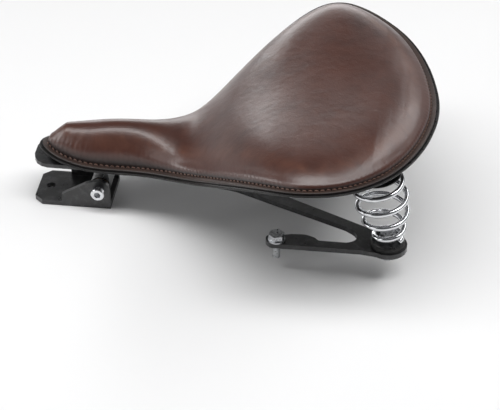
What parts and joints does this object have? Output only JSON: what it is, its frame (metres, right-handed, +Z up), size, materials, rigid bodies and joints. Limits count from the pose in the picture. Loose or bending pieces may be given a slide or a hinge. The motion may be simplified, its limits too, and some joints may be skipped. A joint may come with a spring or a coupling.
{
  "type": "motorcycle seat",
  "caption": "Sprung solo motorcycle seat: padded leather cushion on a pressed pan, hinged at its nose on a clevis and carried at the back by coil springs on a base plate.",
  "frame": {"origin": "centre of the two frame-bolt holes of the front bracket, on the bracket's underside", "axes": "+X from the nose to the tail, +Z up, +Y to the right of a rider who faces the nose (-X); the seat is symmetric about the plane Y = 0 apart from the pivot bolt and the springs' winding"},
  "size_m": [0.384, 0.3354, 0.1513],
  "materials": {
    "cushion_leather": "semi-gloss dark brown",
    "flange_leather": "satin grey-brown",
    "base_leather": "gloss black",
    "thread": "waxed",
    "foam": "open-cell foam",
    "pan_steel": "black primer",
    "black_steel": "semi-gloss black powder coat",
    "zinc": "zinc plated",
    "chrome": "polished",
    "rubber": "matt",
    "bronze": "machined"
  },
  "bodies": {
    "frame_side": {"front_bracket": "black_steel", "pivot_bolt": "chrome", "pivot_washers": "zinc", "pivot_lock_nut": "zinc", "base_plate": "black_steel", "plate_mount_bolts": "zinc", "plate_mount_washers": "zinc", "spring_isolators": "rubber", "lower_spring_cups": "black_steel", "lower_spring_bolts": "zinc", "lower_spring_washers": "zinc", "lower_spring_nuts": "zinc", "spring_left": "chrome", "spring_right": "chrome"},
    "seat": {"cushion_cover": "cushion_leather", "flange_leather": "flange_leather", "foam_pad": "foam", "seat_pan": "pan_steel", "base_leather": "base_leather", "seam_thread": "thread", "pan_studs": "zinc", "strap_spacers": "zinc", "front_strap": "black_steel", "stud_washers": "zinc", "stud_nuts": "zinc", "pivot_bushings": "bronze", "upper_spring_plates": "black_steel", "plate_rivets": "zinc", "upper_spring_cups": "black_steel", "upper_spring_bolts": "zinc", "pan_weld_nuts": "zinc"}
  },
  "joints": [
    {"name": "seat_pivot", "type": "hinge", "parent": "frame_side", "child": "seat", "pos_m": [0.033, 0, 0.0215], "axis": [0, 1, 0], "range_deg": [-1, 5], "stiffness_Nm_per_rad": 1500, "deforming": ["spring_left", "spring_right"]}
  ]
}
